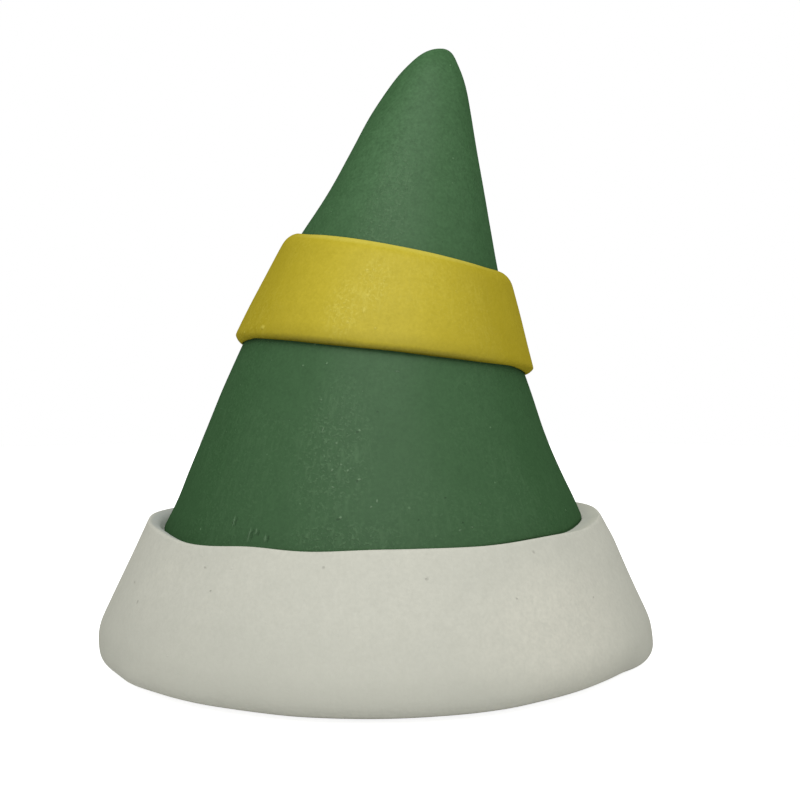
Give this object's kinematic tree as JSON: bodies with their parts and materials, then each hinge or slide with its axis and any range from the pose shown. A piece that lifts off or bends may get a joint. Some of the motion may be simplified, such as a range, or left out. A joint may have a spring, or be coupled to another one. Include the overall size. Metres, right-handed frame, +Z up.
{
  "type": "elf hat figurine",
  "caption": "Pointed elf hat ornament in baked clay: leaning green cone over a foil core, wrapped yellow band, flared white cuff and a flat base to stand on.",
  "frame": {"origin": "centre of the flat base, on the surface the hat stands on", "axes": "+Z up, +X to the side that the tip leans to, -Y the front that the picture shows, +Y the back with the seams"},
  "size_m": [0.06, 0.06, 0.0658],
  "materials": {
    "green_clay": "baked polymer clay, satin, fine drag marks and pale flecks",
    "yellow_clay": "baked polymer clay, satin, smooth",
    "white_clay": "baked polymer clay, matt, warm white with a few dark lint specks",
    "foil": "crumpled kitchen foil"
  },
  "bodies": {
    "root": {"base_disc": "white_clay", "foil_core": "foil", "hat_cone": "green_clay", "hat_band": "yellow_clay", "brim_cuff": "white_clay"}
  },
  "joints": []
}
